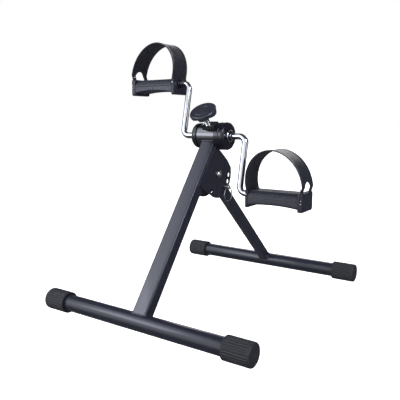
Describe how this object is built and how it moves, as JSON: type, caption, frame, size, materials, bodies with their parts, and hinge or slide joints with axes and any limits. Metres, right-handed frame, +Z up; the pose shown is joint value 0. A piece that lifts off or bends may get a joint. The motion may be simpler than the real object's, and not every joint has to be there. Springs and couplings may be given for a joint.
{
  "type": "folding pedal exerciser",
  "caption": "Folding pedal exerciser: bent rod crank in a braked hub with a tension knob, pedals with arched foot straps, and an A-frame on ribbed rubber feet.",
  "frame": {"origin": "on the floor, under the middle of the footprint", "axes": "+X along the crank axis, to the right of a person who sits on the wide leg's side and faces the folding leg; +Y from the wide leg's foot to the folding leg's foot; +Z up"},
  "size_m": [0.4, 0.471, 0.4708],
  "materials": {
    "frame_paint": "semi-gloss black enamel",
    "hub_enamel": "gloss black enamel",
    "cap_rubber": "moulded, satin",
    "chrome_plate": "bright chrome plate",
    "zinc_plate": "bright zinc plate",
    "hub_plastic": "gloss moulded",
    "pedal_plastic": "satin moulded",
    "knob_plastic": "satin moulded",
    "bearing_nylon": "natural nylon",
    "brake_felt": "pressed felt",
    "strap_vinyl": "soft PVC, satin"
  },
  "bodies": {
    "frame": {"front_cross_tube": "frame_paint", "front_end_cap_right": "cap_rubber", "front_end_cap_left": "cap_rubber", "front_leg": "frame_paint", "hinge_plate_right": "frame_paint", "hinge_plate_left": "frame_paint", "pivot_sleeve": "zinc_plate", "pivot_bolt": "zinc_plate", "pivot_nut": "zinc_plate", "hub_shell": "hub_enamel", "tension_boss": "hub_enamel", "hub_cap_right": "hub_plastic", "hub_cap_left": "hub_plastic", "bushing_right": "bearing_nylon", "bushing_left": "bearing_nylon"},
    "folding_leg": {"rear_cross_tube": "frame_paint", "rear_end_cap_right": "cap_rubber", "rear_end_cap_left": "cap_rubber", "rear_leg": "frame_paint", "pivot_washer_right": "bearing_nylon", "pivot_washer_left": "bearing_nylon"},
    "crank": {"crank_rod": "chrome_plate", "brake_drum": "zinc_plate", "crank_collar": "zinc_plate", "bearing_nut_right": "chrome_plate", "bearing_nut_left": "chrome_plate", "right_axle_push_nut": "zinc_plate", "left_axle_push_nut": "zinc_plate"},
    "right_pedal": {"right_pedal_body": "pedal_plastic", "right_pedal_inner_end": "pedal_plastic", "right_pedal_outer_end": "pedal_plastic", "right_pedal_inner_bushing": "hub_plastic", "right_pedal_outer_bushing": "bearing_nylon", "right_strap": "strap_vinyl"},
    "left_pedal": {"left_pedal_body": "pedal_plastic", "left_pedal_inner_end": "pedal_plastic", "left_pedal_outer_end": "pedal_plastic", "left_pedal_inner_bushing": "hub_plastic", "left_pedal_outer_bushing": "bearing_nylon", "left_strap": "strap_vinyl"},
    "brake": {"brake_pad": "brake_felt", "brake_shoe": "zinc_plate"},
    "tension_knob": {"tension_knob": "knob_plastic", "tension_screw": "zinc_plate"},
    "lock_pin": {"lock_pin": "zinc_plate"},
    "pull_ring": {"pull_ring": "zinc_plate"}
  },
  "joints": [
    {"name": "fold", "type": "hinge", "parent": "frame", "child": "folding_leg", "pos_m": [0, -0.012, 0.23], "axis": [-1, 0, 0], "range_deg": [0, 84]},
    {"name": "crank_spin", "type": "hinge", "parent": "frame", "child": "crank", "pos_m": [0, -0.005, 0.298], "axis": [1, 0, 0], "continuous": true},
    {"name": "right_pedal_spin", "type": "hinge", "parent": "crank", "child": "right_pedal", "pos_m": [0.138, -0.02563, 0.2022], "axis": [1, 0, 0], "continuous": true},
    {"name": "left_pedal_spin", "type": "hinge", "parent": "crank", "child": "left_pedal", "pos_m": [-0.138, 0.01563, 0.39381], "axis": [1, 0, 0], "continuous": true},
    {"name": "pad_travel", "type": "slide", "parent": "frame", "child": "brake", "axis": [0, -0.5736, 0.8192], "range_m": [0, 0.0025]},
    {"name": "knob_turn", "type": "hinge", "parent": "brake", "child": "tension_knob", "pos_m": [-0.0026, -0.02794, 0.33077], "axis": [0, -0.5736, 0.8192], "range_deg": [0, 600]},
    {"name": "pin_pull", "type": "slide", "parent": "frame", "child": "lock_pin", "axis": [1, 0, 0], "range_m": [-0.0025, 0.007]},
    {"name": "ring_swing", "type": "hinge", "parent": "lock_pin", "child": "pull_ring", "pos_m": [0.0207, 0.01265, 0.20445], "axis": [0, -1, 0], "range_deg": [0, 80]}
  ],
  "couplings": [
    {"joint": "pad_travel", "follows": "knob_turn", "m_per_rad": 0.00023873}
  ]
}
